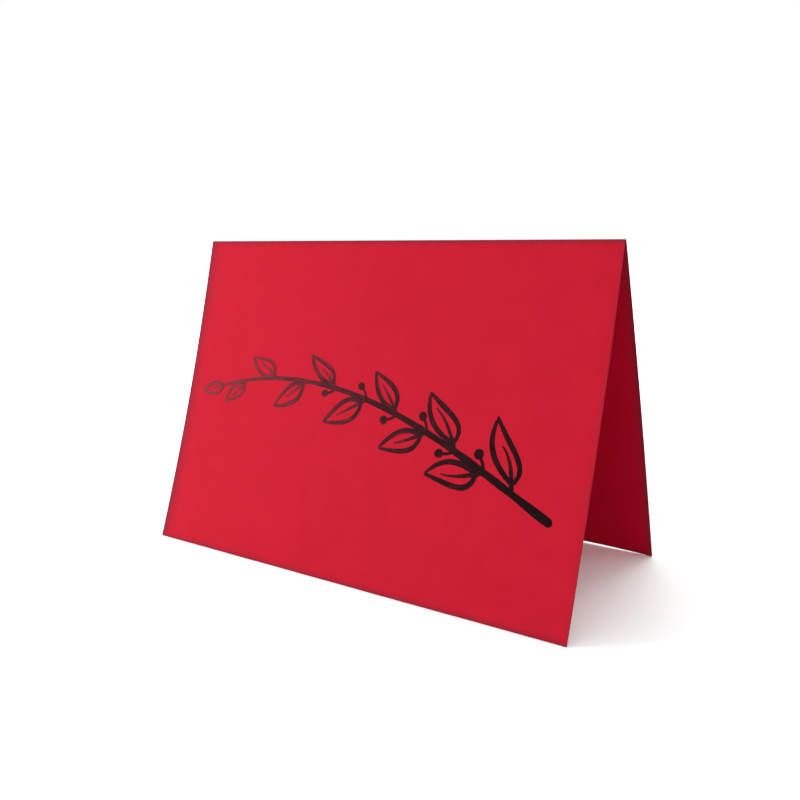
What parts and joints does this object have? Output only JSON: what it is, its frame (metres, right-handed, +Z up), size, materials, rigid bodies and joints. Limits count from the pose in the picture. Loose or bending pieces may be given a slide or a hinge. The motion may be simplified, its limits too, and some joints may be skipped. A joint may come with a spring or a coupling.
{
  "type": "greeting card",
  "caption": "Folded greeting card of stiff red stock, standing open as a tent with its crease on top and its panels slightly bowed.",
  "frame": {"origin": "on the table, midway between the two long cut edges that the card stands on, and midway along the fold", "axes": "+Z up, +X along the fold, -Y towards the front panel"},
  "size_m": [0.15, 0.0678, 0.0994],
  "materials": {
    "card_stock": "uncoated, dyed through, matt",
    "ink": "brushed black ink, satin where it is thick"
  },
  "bodies": {
    "root": {"folded_card": "card_stock"}
  },
  "joints": []
}
